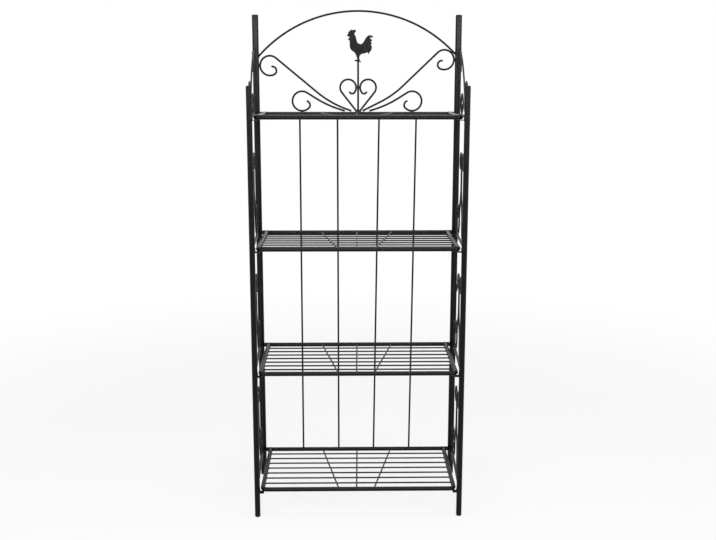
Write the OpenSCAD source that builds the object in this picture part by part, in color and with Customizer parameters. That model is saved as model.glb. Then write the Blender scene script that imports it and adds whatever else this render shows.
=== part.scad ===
// Folding four-tier plant stand in black steel tube and rod.
// The back panel carries four rails on two uprights and a scrolled crown.
// Four wire shelves hinge on the rails. Two scrolled side frames hinge on the
// uprights and hold the shelves' front corners.
// Origin: middle of the footprint on the floor. Front faces -Y, up is +Z.

/* [Overall] */
// Spacing of the rear uprights, centre to centre
upright_spacing = 606; // [540:1:680]
// Front leg centres to upright centres, front to back
frame_depth = 300; // [260:1:360]
// How far each front leg stands inboard of its upright
leg_inset = 8; // [2:0.5:12]
// Height of the uprights over their caps
upright_h = 1449; // [1430:1:1500]
// Height of the front legs over their caps
leg_h = 1242; // [1230:1:1260]

/* [Tubes] */
// Outer diameter of the uprights
upright_d = 19; // [16:0.1:21]
// Outer diameter of the front legs
leg_d = 16; // [14:0.1:18]
// Wall of uprights and front legs
leg_wall = 1.2; // [0.8:0.1:1.6]
// Outer diameter of rails and shelf frames
shelf_d = 12.7; // [11:0.1:14]
// Wall of rails and shelf frames
shelf_wall = 1; // [0.7:0.1:1.4]
// Rounded rim of the tube caps
cap_rim = 3; // [1:0.1:4]
// Visible height of a top cap
top_cap_h = 5; // [4.5:0.1:8]
// Visible height of a foot cap
foot_cap_h = 9; // [5:0.1:14]
// Length of a cap's spigot inside its tube
spigot_len = 14; // [8:0.5:20]
// Radial clearance of a spigot in its tube
spigot_gap = 0.1; // [0.05:0.05:0.3]

/* [Shelves] */
// Height of the top shelf's tube centre
top_level = 1158; // [1150:1:1165]
// Height of the upper shelf's tube centre
upper_level = 795; // [780:1:810]
// Height of the lower shelf's tube centre
lower_level = 435; // [420:1:450]
// Height of the bottom shelf's tube centre
bottom_level = 84; // [76:1:100]
// Bend radius of a shelf frame's front corners
shelf_bend = 14; // [12:0.5:24]
// Side play between a shelf and a front leg
shelf_play = 1; // [0.6:0.1:2]
// Diameter of the shelf wires
wire_d = 4.5; // [3:0.1:5]
// Number of wires across a shelf
wire_count = 7; // [5:1:9]
// First wire in front of the rail
wire_start = 34; // [30:0.5:40]
// Last wire behind the front tube
wire_end = 47; // [40:0.5:60]
// Diameter of the three fan rods on the wires
fan_d = 4.5; // [3:0.1:5]
// Places of the fan rods' rear ends
fan_back_x = [-109, -1, 105]; // [-120:0.5:120]
// Places of the fan rods' front ends
fan_front_x = [-57, -5, 46]; // [-70:0.5:60]
// Rear end of the fan rods in front of the rail's centre
fan_start = 18; // [16:0.5:24]
// Diameter of the necked rail ends, on which the shelves turn
neck_d = 9.5; // [8:0.1:10]
// Outer diameter of the shelf hinge sleeves
sleeve_d = 13.4; // [13:0.1:16]
// Radial running clearance of a hinge
run_gap = 0.06; // [0.04:0.01:0.1]
// End play of a hinge sleeve beside its upright
sleeve_play = 0.6; // [0.4:0.1:2]

/* [Back rods] */
// Diameter of the four rods behind the rails
back_rod_d = 5.5; // [4:0.1:6.5]
// Places of the rods at the top rail, left to right
rod_top_x = [-174, -59.5, 67, 180]; // [-200:0.5:200]
// Places of the rods at the bottom rail
rod_foot_x = [-174, -59.5, 53, 167.5]; // [-200:0.5:200]

/* [Crown] */
// Diameter of the crown's rods
crown_d = 6; // [5:0.1:6.2]
// How far the arch and the bird stand right of the middle
crown_x = 3; // [-4:0.5:4]
// Centre-line radius of the arch
arch_r = 402; // [395:1:430]
// Height of the arch's centre line at its top
arch_top = 1460; // [1440:1:1480]
// Radius of the crown's scroll heads
scroll_r = 29; // [26:0.5:31]
// Radius of the curl inside a scroll head
curl_r = 12.5; // [10:0.5:14]
// Centre height of the left large scroll head
left_head_z = 1301; // [1290:1:1310]
// Where the large scrolls' tails end beside the middle, left and right
tail_end = [17.6, 17]; // [15.6:0.2:30]
// How much flatter than its slope each of these tails lands, in degrees
tail_flat = [9.4, 5.3]; // [4:0.1:14]
// Radius of the bend in each of these tails
tail_bend = [300, 290]; // [240:1:320]
// Straight length at the end of each of these tails
tail_last = [13, 58]; // [10:1:62]
// Place of the small scroll heads beside the middle
small_head_x = 166; // [164:0.5:180]
// Radius of the heart's lobes
heart_r = 24; // [20:0.5:27]
// Centre height of the heart's lobes
heart_z = 1236.5; // [1228:0.5:1245]
// Radius of the curl inside a lobe
heart_curl_r = 8; // [7:0.5:10]
// Height of the perch on the spear rod
perch_z = 1313; // [1300:1:1320]
// Thickness of the cut bird plate
plate_t = 2.5; // [1.5:0.1:4]
// Size of the bird against its drawing
bird_scale = 1; // [0.8:0.01:1.1]

/* [Side frames] */
// Diameter of the rear bar, which is also the hinge pin
bar_d = 9; // [7:0.1:10]
// Lower end of the rear bar
bar_foot = 40; // [30:1:42]
// How far the hinge line lies outboard of the upright
hinge_out = 3.5; // [2:0.1:4.5]
// Outer diameter of the hinge barrels
barrel_d = 13; // [12:0.1:14]
// Height of the long top barrel's upper end
barrel_top = 1342; // [1335:1:1350]
// Length of the top barrel
barrel_len = 60; // [40:1:70]
// Lower ends of the two short barrels
short_barrel_z = [90, 610]; // [90:1:640]
// Length of a short barrel
short_barrel_len = 22; // [16:1:24]
// Diameter of the cross bars at shelf height
cross_d = 8; // [6:0.1:9]
// Diameter of the side scroll rods
side_rod_d = 5; // [4:0.1:6]
// Radius of the large scroll heads in a bay
bay_head_r = 44; // [38:0.5:48]
// Radius of the small scroll heads in a bay
bay_tip_r = 24; // [18:0.5:28]
// Height of the small heads' centres over the bay's cross bar
bay_tip_z = 230; // [220:1:250]
// Height where the two scrolls of a bay meet
bay_meet_z = 165; // [155:1:180]
// Radius of the scroll at the top of the front leg
shoulder_r = 36; // [30:0.5:38]
// How far that scroll rises above the front leg
shoulder_rise = 13; // [8:0.5:20]
// Radius of the scroll standing on the top cross bar
perch_scroll_r = 27; // [22:0.5:29]
// Place of that scroll in front of the hinge line
perch_scroll_u = 108; // [100:1:115]
// Corner radius of the low apron rod
apron_r = 26; // [18:0.5:28]
// Lower ends of the apron rod
apron_foot = 44; // [42:0.5:48]

/* [Rest brackets] */
// Thickness of the bracket's steel
bracket_t = 2; // [1.5:0.1:3]
// Width of the shelf seat beside the leg
seat_w = 12; // [10:0.5:18]
// Depth of the shelf seat behind the leg's centre
seat_back = 7; // [4:0.5:10]
// Clearance under a resting shelf
seat_gap = 0.3; // [0.2:0.05:0.5]
// How far the face plate laps over the leg's centre
plate_lap = 0.5; // [0:0.1:2]

/* [Hidden] */
$fn = 48;

LEFT = -1;
RIGHT = 1;
levels = [top_level, upper_level, lower_level, bottom_level];
steel = [0.09, 0.09, 0.095];
plastic = [0.05, 0.05, 0.05];
// Slack between two rods that lie against each other
touch = 0.05;
bend_thinning = 0.04;
bend_lap = 0.3;
// Straight length where a bend changes radius
ease = 1.5;

// Radii
upright_r = upright_d / 2;
leg_r = leg_d / 2;
shelf_r = shelf_d / 2;
wire_r = wire_d / 2;
fan_r = fan_d / 2;
sleeve_r = sleeve_d / 2;
back_rod_r = back_rod_d / 2;
crown_r = crown_d / 2;
bar_r = bar_d / 2;
barrel_r = barrel_d / 2;
cross_r = cross_d / 2;
side_rod_r = side_rod_d / 2;

// The footprint is centred between the bracket faces and the back rods
front_reach = leg_r + bracket_t;
back_reach = max(upright_r, shelf_r + touch + back_rod_d);
upright_x = upright_spacing / 2;
upright_y = frame_depth / 2 + (front_reach - back_reach) / 2;
leg_x = upright_x - leg_inset;
leg_y = upright_y - frame_depth;

// Shelf frames
shelf_half = leg_x - leg_r - shelf_play;
side_x = shelf_half - shelf_r;
sleeve_out = upright_x - upright_r - sleeve_play;
sleeve_in = side_x - shelf_r - 1;
rail_half = sleeve_in - sleeve_play;
rod_back_y = upright_y + shelf_r + touch + back_rod_r;

// The side panel runs from its hinge line to the front leg
hinge_x = upright_x + hinge_out;
hinge_y = upright_y
    - sqrt(pow(upright_r + barrel_r - touch, 2) - pow(hinge_out, 2));
panel_len = norm([leg_x - hinge_x, leg_y - hinge_y]);
panel_turn = atan2(leg_y - hinge_y, leg_x - hinge_x);
panel_mid = (panel_len + bar_r - leg_r) / 2;

// Crown
arch_z = arch_top - arch_r;
rail_top = top_level + shelf_r;
large_head_x = upright_x - upright_r - crown_r - scroll_r - touch;
// The right large scroll lies against the arch from below
right_head_z = arch_z
    + sqrt(pow(arch_r - crown_d - scroll_r - touch, 2)
           - pow(large_head_x - crown_x, 2));

// Moves the drawing of the right-hand side to either side
module to_side(side) {
    if (side == LEFT) mirror([1, 0, 0]) children();
    else children();
}

// Stands a drawing made in X and Y up in the plane of the back panel
module in_back_plane() {
    translate([0, upright_y, 0]) rotate([90, 0, 0]) children();
}

// Stands a drawing up in a side panel, X running from hinge to leg
module in_side_panel(side) {
    to_side(side) translate([hinge_x, hinge_y, 0])
        rotate([0, 0, panel_turn]) rotate([90, 0, 0]) children();
}

// A bar bent from straight lengths [length] and bends [radius, turn].
// It starts at the origin along +X, and a positive turn goes left.
// Bending draws the bar thinner by a hair, and each bend laps into the
// straight lengths beside it.
module bent_rod(steps, d, i = 0) {
    if (i < len(steps)) {
        step = steps[i];
        if (len(step) == 1) {
            rotate([0, 90, 0]) cylinder(d = d, h = step[0]);
            translate([step[0], 0, 0]) bent_rod(steps, d, i + 1);
        } else {
            radius = step[0];
            turn = step[1];
            side = turn < 0 ? -1 : 1;
            lap = bend_lap / radius * 180 / PI;
            translate([0, side * radius, 0])
                rotate([0, 0, (turn < 0 ? 90 + turn : -90) - lap])
                    rotate_extrude(angle = abs(turn) + 2 * lap)
                        translate([radius, 0])
                            circle(d = d - bend_thinning);
            translate([radius * sin(abs(turn)),
                       side * radius * (1 - cos(turn)), 0])
                rotate([0, 0, turn]) bent_rod(steps, d, i + 1);
        }
    }
}

module bent_tube(steps, d, wall) {
    difference() {
        bent_rod(steps, d);
        bent_rod(steps, d - 2 * wall);
    }
}

// A straight rod between two points
module rod_between(a, b, d) {
    run = b - a;
    translate(a)
        rotate([0, acos(run[2] / norm(run)), atan2(run[1], run[0])])
            cylinder(d = d, h = norm(run));
}

module upright_shape(grow = 0) {
    cylinder(r = upright_r + grow, h = upright_h);
}

module at_upright(side) {
    translate([side * upright_x, upright_y, 0]) children();
}

module at_leg(side) {
    translate([side * leg_x, leg_y, 0]) children();
}

// A tube that stands between its two caps
module capped_tube(radius, height) {
    translate([0, 0, foot_cap_h]) difference() {
        cylinder(r = radius, h = height - top_cap_h - foot_cap_h);
        translate([0, 0, -1])
            cylinder(r = radius - leg_wall, h = height);
    }
}

// A plastic plug with a rounded rim, its crown at z = 0 facing down
module plug(radius, height) {
    rotate_extrude() {
        square([radius - cap_rim, height]);
        translate([0, cap_rim]) square([radius, height - cap_rim]);
        translate([radius - cap_rim, cap_rim]) intersection() {
            circle(r = cap_rim);
            translate([0, -cap_rim]) square([cap_rim, cap_rim]);
        }
    }
    translate([0, 0, height])
        cylinder(r = radius - leg_wall - spigot_gap, h = spigot_len);
}

module top_plug(radius, height) {
    translate([0, 0, height]) mirror([0, 0, 1]) plug(radius, top_cap_h);
}

// Back panel

module upright(side) {
    color(steel) at_upright(side) capped_tube(upright_r, upright_h);
}

module upright_caps() {
    color(plastic) for (side = [LEFT, RIGHT])
        at_upright(side) top_plug(upright_r, upright_h);
}

module rear_foot_caps() {
    color(plastic) for (side = [LEFT, RIGHT])
        at_upright(side) plug(upright_r, foot_cap_h);
}

module along_x(radius, half) {
    translate([-half, 0, 0]) rotate([0, 90, 0])
        cylinder(r = radius, h = 2 * half);
}

// A rail between the uprights, necked down at both ends
module rail(level) {
    color(steel) difference() {
        translate([0, upright_y, level]) difference() {
            union() {
                along_x(shelf_r, rail_half);
                along_x(neck_d / 2, upright_x);
            }
            along_x(shelf_r - shelf_wall, rail_half - 2 * shelf_wall);
            along_x(neck_d / 2 - shelf_wall, upright_x + 1);
        }
        for (side = [LEFT, RIGHT]) at_upright(side) upright_shape();
    }
}

module back_rods() {
    color(steel) for (i = [0 : len(rod_top_x) - 1])
        rod_between([rod_foot_x[i], rod_back_y, bottom_level - shelf_r / 2],
                    [rod_top_x[i], rod_back_y, top_level + shelf_r / 2],
                    back_rod_d);
}

module crown_arch() {
    reach = asin((upright_x + abs(crown_x)) / arch_r);
    color(steel) difference() {
        in_back_plane() translate([crown_x, arch_z, 0])
            rotate([0, 0, 90 - reach]) rotate_extrude(angle = 2 * reach)
                translate([arch_r, 0]) circle(d = crown_d);
        for (side = [LEFT, RIGHT]) at_upright(side) upright_shape();
    }
}

// A scroll head with a tail that falls and comes to rest on ground.
// The tail leaves the head at the angle leave, bends to the angle land
// and ends after the length last. The head runs on over its top for the
// angle wrap and ends in a curl, which turns by the angle hook.
module tailed_scroll(head, radius, curl, d, leave, bend, land, last, ground,
                     wrap = 200, hook = 165) {
    fall = head[1] + radius * cos(leave) - ground - d / 2 * cos(land)
        - bend * (cos(land) - cos(leave)) - last * sin(land);
    translate([head[0] + radius * sin(leave),
               head[1] + radius * cos(leave), 0]) {
        rotate([0, 0, -leave])
            bent_rod([[fall / sin(leave)], [bend, leave - land], [last]], d);
        rotate([0, 0, 180 - leave])
            bent_rod([[radius, wrap + leave], [ease], [curl, hook], [ease]],
                     d);
    }
}

// The angle at which a tail leaves its head so as to end at foot
function tail_leave(head, radius, foot, bend, land, last) =
    let (to_bend = foot - head - last * [cos(land), -sin(land)]
             + bend * [sin(land), cos(land)])
        atan2(to_bend[0], to_bend[1])
            - acos((bend + radius) / norm(to_bend));

module large_scroll(side) {
    i = side == LEFT ? 0 : 1;
    head = [-large_head_x, [left_head_z, right_head_z][i]];
    foot = [-tail_end[i], rail_top + touch + crown_r];
    slope = atan2(head[1] - foot[1], foot[0] - head[0]);
    land = slope - tail_flat[i];
    leave = tail_leave(head, scroll_r, foot, tail_bend[i], land,
                       tail_last[i]);
    color(steel) to_side(side) mirror([1, 0, 0]) in_back_plane()
        tailed_scroll(head, scroll_r, curl_r, crown_d, leave,
                      tail_bend[i], land, tail_last[i], rail_top + touch);
}

module small_scroll(side) {
    color(steel) to_side(side) mirror([1, 0, 0]) in_back_plane()
        tailed_scroll([-small_head_x, rail_top + touch + crown_r + scroll_r],
                      scroll_r, curl_r, crown_d, leave = 32, bend = 320,
                      land = 15, last = 2, ground = rail_top + touch,
                      wrap = 218, hook = 125);
}

// Half of the heart: a straight side from the rail, a lobe and a curl
module heart_half(side) {
    foot = [-crown_r - 1.15, rail_top + 0.8];
    lobe = [-crown_d - heart_r - touch, heart_z];
    reach = norm(lobe - foot);
    side_len = sqrt(pow(reach, 2) - pow(heart_r, 2));
    lean = atan2(lobe[1] - foot[1], lobe[0] - foot[0])
        + asin(heart_r / reach);
    color(steel) difference() {
        translate([crown_x, 0, 0]) to_side(side) mirror([1, 0, 0])
            in_back_plane() translate([foot[0], foot[1], 0])
                rotate([0, 0, lean])
                    bent_rod([[side_len], [heart_r, -lean - 125], [ease],
                              [heart_curl_r, -125], [ease]], crown_d);
        translate([0, upright_y, top_level]) along_x(shelf_r, upright_x);
        spear_shape();
    }
}

module spear_shape() {
    translate([crown_x, upright_y, top_level])
        cylinder(r = crown_r, h = perch_z - top_level - 5);
}

module spear_rod() {
    color(steel) difference() {
        spear_shape();
        translate([0, upright_y, top_level]) along_x(shelf_r, upright_x);
    }
}

// Outline of the bird, facing left, with its perch at the origin
bird_outline = [
    [-3, -5], [-3, 0.5], [-8, 0.5], [-12, 2.5], [-9.5, 5.5],
    [-3, 5], [-3, 9], [-6, 18], [-9, 24.5], [-13.5, 29], [-20.5, 33],
    [-24.5, 40], [-25.3, 48], [-25.5, 57], [-25.5, 61.5], [-30.9, 64.4],
    [-27, 69.5], [-25.5, 72], [-29, 73.6], [-34.8, 74.4], [-30.5, 79.4],
    [-29.7, 85.2], [-23.6, 91.6], [-18.7, 93.4], [-14.6, 91.2],
    [-11.5, 93.5], [-7, 92.4], [-6, 88.5], [-8.5, 85], [-11.8, 82],
    [-8, 75.5], [-6.2, 70], [-4.2, 63], [-3, 56.6], [0.6, 53.3],
    [8.7, 50], [16, 56.6], [20.8, 65.6], [27.3, 74.5], [34.6, 77.8],
    [42.5, 75.6], [46.5, 70], [40, 70.2], [34.8, 70.2], [37.2, 67],
    [43.3, 61.4], [37, 58.3], [42.2, 53.3], [37.8, 49.3], [42.5, 42.1],
    [39.4, 33.2], [33.8, 26.7], [32.2, 19.8], [28.9, 27.6], [24.9, 25.2],
    [16.8, 23.6], [8.7, 21], [4.9, 17], [3.6, 11.4], [4.2, 6],
    [10.2, -3.6], [6.4, -2.6], [3, 0.5], [3, -5]];

// Cuts the corners of an outline, all but its first and last
function softened(outline) = [
    outline[0],
    for (i = [0 : len(outline) - 2]) let (a = outline[i], b = outline[i + 1])
        each [0.75 * a + 0.25 * b, 0.25 * a + 0.75 * b],
    outline[len(outline) - 1]];

module bird_plate() {
    color(steel) translate([crown_x, upright_y + plate_t / 2, perch_z])
        rotate([90, 0, 0]) linear_extrude(plate_t) scale(bird_scale)
            polygon(softened(softened(bird_outline)));
}

// Barrels welded to the upright, in which the rear bar turns
module hinge_barrel(z, length) {
    translate([hinge_x, hinge_y, z]) difference() {
        cylinder(r = barrel_r, h = length);
        translate([0, 0, -1])
            cylinder(r = bar_r + run_gap, h = length + 2);
    }
}

module hinge_barrels(side) {
    color(steel) to_side(side) difference() {
        union() {
            hinge_barrel(barrel_top - barrel_len, barrel_len);
            for (z = short_barrel_z) hinge_barrel(z, short_barrel_len);
        }
        at_upright(RIGHT) upright_shape();
    }
}

// Side frames

module front_leg(side) {
    color(steel) at_leg(side) capped_tube(leg_r, leg_h);
}

module leg_caps(side) {
    color(plastic) at_leg(side) {
        plug(leg_r, foot_cap_h);
        top_plug(leg_r, leg_h);
    }
}

bar_tip = barrel_top + 8;

module rear_bar(side) {
    color(steel) to_side(side) translate([hinge_x, hinge_y, bar_foot])
        cylinder(r = bar_r, h = bar_tip - bar_foot);
}

// What every rod of a side panel is fitted against
module panel_ends() {
    rotate([-90, 0, 0]) {
        cylinder(r = bar_r, h = bar_tip);
        translate([panel_len, 0, 0]) cylinder(r = leg_r, h = leg_h);
    }
}

module cross_bars(side) {
    color(steel) in_side_panel(side) difference() {
        for (level = levels) translate([0, level, 0]) rotate([0, 90, 0])
            cylinder(r = cross_r, h = panel_len);
        panel_ends();
    }
}

// Half of a bay's lyre: a large head, an S-shaped stem and a small head
module lyre_half(level) {
    head = [bar_r + side_rod_r + touch + bay_head_r,
            level + cross_r + side_rod_r + touch + bay_head_r];
    bottom = 5;
    middle = 10;
    drift = panel_mid - side_rod_r - touch - head[0] - bay_head_r;
    rise = level + bay_meet_z - head[1] - bottom;
    sway = 2 * atan(drift / (rise + middle));
    sway_r = (rise * sin(sway) - drift * cos(sway)) / (2 - 2 * cos(sway));
    translate([head[0] + bay_head_r, head[1], 0]) {
        rotate([0, 0, 90])
            bent_rod([[bottom], [sway_r, -sway], [middle], [sway_r, sway],
                      [bay_tip_z - bay_meet_z], [bay_tip_r, 235], [ease],
                      [bay_tip_r * 0.45, 120], [ease]], side_rod_d);
        rotate([0, 0, -90])
            bent_rod([[bay_head_r, -250], [ease],
                      [bay_head_r * 0.45, -165], [ease]], side_rod_d);
    }
}

module bay_scrolls(side, level) {
    color(steel) in_side_panel(side) {
        lyre_half(level);
        translate([2 * panel_mid, 0, 0]) mirror([1, 0, 0])
            lyre_half(level);
    }
}

// The rod that sweeps from the hinge down to a scroll behind the leg
module shoulder_rod(side) {
    leave = 55;
    middle = 30;
    head = [panel_len - leg_r - side_rod_r - touch - shoulder_r,
            leg_h + shoulder_rise - side_rod_r - shoulder_r];
    start = [0, barrel_top + side_rod_r + 2];
    join = head + shoulder_r * [-sin(leave), -cos(leave)]
        + middle * [-cos(leave), sin(leave)];
    chord = join - start;
    bend = 2 * (leave - atan2(-chord[1], chord[0]));
    bend_r = norm(chord) / (2 * sin(bend / 2));
    color(steel) in_side_panel(side) difference() {
        translate([start[0], start[1], 0]) rotate([0, 0, bend - leave])
            bent_rod([[bend_r, -bend], [middle], [shoulder_r, leave + 235],
                      [ease], [shoulder_r * 0.42, 150], [ease]],
                     side_rod_d);
        panel_ends();
    }
}

module perch_scroll(side) {
    ground = top_level + cross_r + touch;
    color(steel) in_side_panel(side)
        tailed_scroll([perch_scroll_u, ground + side_rod_r + perch_scroll_r],
                      perch_scroll_r, perch_scroll_r * 0.43, side_rod_d,
                      leave = 35, bend = 200, land = 15, last = 40,
                      ground = ground);
}

module apron_rod(side) {
    top = bottom_level - cross_r - side_rod_r - touch;
    drop = top - apron_r - apron_foot;
    inset = side_rod_r + touch;
    width = panel_len - leg_r - bar_r - 2 * inset - 2 * apron_r;
    color(steel) in_side_panel(side)
        translate([panel_len - leg_r - inset, apron_foot, 0])
            rotate([0, 0, 90])
                bent_rod([[drop], [apron_r, 90], [width], [apron_r, 90],
                          [drop]], side_rod_d);
}

// An angle of steel on the front of the leg: the face plate laps over
// the leg and the seat carries the shelf's front tube
module rest_brackets(side) {
    inner = leg_x - leg_r - seat_w;
    seat_top = -shelf_r - seat_gap;
    face_y = leg_y - leg_r - bracket_t;
    face_in = leg_x - leg_r - bracket_t;
    color(steel) to_side(side) difference() {
        for (level = levels) translate([0, 0, level + seat_top]) {
            translate([inner, face_y, -bracket_t])
                cube([leg_x - inner, leg_y + seat_back - face_y,
                      bracket_t]);
            translate([face_in, face_y, -bracket_t])
                cube([leg_x + plate_lap - face_in, bracket_t + 0.8,
                      2 * shelf_r + bracket_t]);
        }
        at_leg(RIGHT) cylinder(r = leg_r, h = leg_h);
    }
}

// Shelves

module shelf_frame(level) {
    arm = frame_depth - shelf_bend;
    width = 2 * side_x - 2 * shelf_bend;
    color(steel) translate([0, 0, level]) difference() {
        translate([side_x, upright_y, 0]) rotate([0, 0, -90])
            bent_tube([[arm], [shelf_bend, -90], [width],
                       [shelf_bend, -90], [arm]], shelf_d, shelf_wall);
        translate([0, upright_y, 0]) along_x(sleeve_r, upright_x);
    }
}

module shelf_sleeves(level) {
    color(steel) for (side = [LEFT, RIGHT]) to_side(side)
        translate([sleeve_in, upright_y, level]) rotate([0, 90, 0])
            difference() {
                cylinder(r = sleeve_r, h = sleeve_out - sleeve_in);
                translate([0, 0, -1])
                    cylinder(r = neck_d / 2 + run_gap,
                             h = sleeve_out - sleeve_in + 2);
            }
}

module side_tube_shapes() {
    for (side = [LEFT, RIGHT])
        translate([side * side_x, upright_y, 0]) rotate([90, 0, 0])
            cylinder(r = shelf_r, h = frame_depth);
}

module shelf_wires(level) {
    pitch = (frame_depth - wire_start - wire_end) / (wire_count - 1);
    color(steel) translate([0, 0, level]) difference() {
        for (i = [0 : wire_count - 1])
            translate([0, upright_y - wire_start - i * pitch, -wire_r])
                along_x(wire_r, side_x);
        side_tube_shapes();
    }
}

module shelf_fan_rods(level) {
    back = upright_y - fan_start;
    color(steel) translate([0, 0, level]) difference() {
        for (i = [0 : len(fan_back_x) - 1])
            rod_between([fan_back_x[i], back, fan_r],
                        [fan_front_x[i], leg_y, fan_r], fan_d);
        translate([0, leg_y, 0]) along_x(shelf_r, upright_x);
    }
}

upright(LEFT);  // left_upright
upright(RIGHT);  // right_upright
upright_caps();
rear_foot_caps();
rail(top_level);  // top_rail
rail(upper_level);  // upper_rail
rail(lower_level);  // lower_rail
rail(bottom_level);  // bottom_rail
back_rods();
crown_arch();
large_scroll(LEFT);  // left_large_scroll
large_scroll(RIGHT);  // right_large_scroll
small_scroll(LEFT);  // left_small_scroll
small_scroll(RIGHT);  // right_small_scroll
heart_half(LEFT);  // left_heart_half
heart_half(RIGHT);  // right_heart_half
spear_rod();
bird_plate();
hinge_barrels(LEFT);  // left_hinge_barrels
hinge_barrels(RIGHT);  // right_hinge_barrels

front_leg(LEFT);  // left_front_leg
leg_caps(LEFT);  // left_leg_caps
rear_bar(LEFT);  // left_rear_bar
cross_bars(LEFT);  // left_cross_bars
bay_scrolls(LEFT, upper_level);  // left_upper_bay_scrolls
bay_scrolls(LEFT, lower_level);  // left_middle_bay_scrolls
bay_scrolls(LEFT, bottom_level);  // left_lower_bay_scrolls
shoulder_rod(LEFT);  // left_shoulder_rod
perch_scroll(LEFT);  // left_perch_scroll
apron_rod(LEFT);  // left_apron_rod
rest_brackets(LEFT);  // left_rest_brackets

front_leg(RIGHT);  // right_front_leg
leg_caps(RIGHT);  // right_leg_caps
rear_bar(RIGHT);  // right_rear_bar
cross_bars(RIGHT);  // right_cross_bars
bay_scrolls(RIGHT, upper_level);  // right_upper_bay_scrolls
bay_scrolls(RIGHT, lower_level);  // right_middle_bay_scrolls
bay_scrolls(RIGHT, bottom_level);  // right_lower_bay_scrolls
shoulder_rod(RIGHT);  // right_shoulder_rod
perch_scroll(RIGHT);  // right_perch_scroll
apron_rod(RIGHT);  // right_apron_rod
rest_brackets(RIGHT);  // right_rest_brackets

shelf_frame(top_level);  // top_shelf_frame
shelf_sleeves(top_level);  // top_shelf_sleeves
shelf_wires(top_level);  // top_shelf_wires
shelf_fan_rods(top_level);  // top_shelf_fan_rods
shelf_frame(upper_level);  // upper_shelf_frame
shelf_sleeves(upper_level);  // upper_shelf_sleeves
shelf_wires(upper_level);  // upper_shelf_wires
shelf_fan_rods(upper_level);  // upper_shelf_fan_rods
shelf_frame(lower_level);  // lower_shelf_frame
shelf_sleeves(lower_level);  // lower_shelf_sleeves
shelf_wires(lower_level);  // lower_shelf_wires
shelf_fan_rods(lower_level);  // lower_shelf_fan_rods
shelf_frame(bottom_level);  // bottom_shelf_frame
shelf_sleeves(bottom_level);  // bottom_shelf_sleeves
shelf_wires(bottom_level);  // bottom_shelf_wires
shelf_fan_rods(bottom_level);  // bottom_shelf_fan_rods
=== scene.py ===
"""Dresses the folding four-tier plant stand.

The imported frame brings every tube, rod and plate. This script gives each of
them its powder coat, adds the weld beads, moulded caps, softened brackets and
the embossed weathercock, and sets the stand in a plain pale studio.
"""

import logging
import math
from contextlib import contextmanager
from dataclasses import dataclass
from enum import Enum
from typing import Callable, Iterator, Optional, Sequence

import bpy
from mathutils import Matrix, Vector
from mathutils.bvhtree import BVHTree


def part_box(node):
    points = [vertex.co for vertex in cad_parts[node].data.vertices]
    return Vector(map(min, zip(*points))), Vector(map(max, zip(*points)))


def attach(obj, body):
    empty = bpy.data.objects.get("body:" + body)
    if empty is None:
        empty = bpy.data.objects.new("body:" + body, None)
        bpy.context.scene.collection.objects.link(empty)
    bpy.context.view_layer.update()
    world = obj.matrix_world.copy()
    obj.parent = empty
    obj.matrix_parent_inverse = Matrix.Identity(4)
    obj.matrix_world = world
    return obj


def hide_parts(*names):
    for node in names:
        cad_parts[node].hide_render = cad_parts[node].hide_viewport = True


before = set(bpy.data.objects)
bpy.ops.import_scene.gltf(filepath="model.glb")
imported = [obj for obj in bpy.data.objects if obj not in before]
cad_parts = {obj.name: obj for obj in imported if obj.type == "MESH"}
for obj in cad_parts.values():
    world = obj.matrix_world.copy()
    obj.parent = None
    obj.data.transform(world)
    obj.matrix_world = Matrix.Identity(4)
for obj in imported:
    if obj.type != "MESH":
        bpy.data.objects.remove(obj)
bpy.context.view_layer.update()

MM = 0.001
# Places closer together than this count as one
SAME_PLACE = 0.01 * MM
# Faces that meet at less than this many degrees are flat together
FLAT_ANGLE = 0.5
LOG = logging.getLogger("plant_stand")

FaceTest = Callable[[Vector, Vector], bool]


class Side(Enum):
    """The two sides of the stand, each with the sign of its X."""

    LEFT = -1
    RIGHT = 1

    @property
    def word(self) -> str:
        """The side's name as the frame's nodes spell it."""
        return self.name.lower()


class Level(Enum):
    """The four shelf levels, named as the frame's nodes spell them."""

    TOP = "top"
    UPPER = "upper"
    LOWER = "lower"
    BOTTOM = "bottom"


class Slot(Enum):
    """The record's material slots."""

    COAT = "powder_coat"
    PLASTIC = "plastic_caps"


# Modelling helpers


def clear_selection() -> None:
    """Leaves edit mode and deselects everything."""
    if bpy.context.object and bpy.context.object.mode != "OBJECT":
        bpy.ops.object.mode_set(mode="OBJECT")
    bpy.ops.object.select_all(action="DESELECT")


def make_active(obj: bpy.types.Object) -> None:
    """Selects one object alone and makes it active.

    Args:
        obj: the object.
    """
    clear_selection()
    obj.select_set(True)
    bpy.context.view_layer.objects.active = obj


@contextmanager
def editing(obj: bpy.types.Object, mode: str = "FACE") -> Iterator[None]:
    """Holds an object in edit mode for the length of a with block.

    Args:
        obj: the mesh object to edit.
        mode: the select mode, VERT, EDGE or FACE.
    """
    make_active(obj)
    bpy.ops.object.mode_set(mode="EDIT")
    bpy.ops.mesh.select_mode(type=mode)
    yield
    bpy.ops.object.mode_set(mode="OBJECT")


def pick_none(obj: bpy.types.Object) -> None:
    """Deselects every vertex, edge and face of a mesh."""
    for part in (obj.data.vertices, obj.data.edges, obj.data.polygons):
        part.foreach_set("select", [False] * len(part))


def pick_faces(obj: bpy.types.Object, test: FaceTest) -> None:
    """Selects the faces that pass a test of their centre and normal.

    Args:
        obj: the mesh object, in object mode.
        test: takes a face's centre and normal, and says whether to select it.
    """
    pick_none(obj)
    for face in obj.data.polygons:
        face.select = test(face.center, face.normal)


def pick_vertices(obj: bpy.types.Object, test: Callable[[Vector], bool]) -> None:
    """Selects the vertices whose place passes a test.

    Args:
        obj: the mesh object, in object mode.
        test: takes a vertex's place, and says whether to select it.
    """
    pick_none(obj)
    for vertex in obj.data.vertices:
        vertex.select = test(vertex.co)


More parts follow.
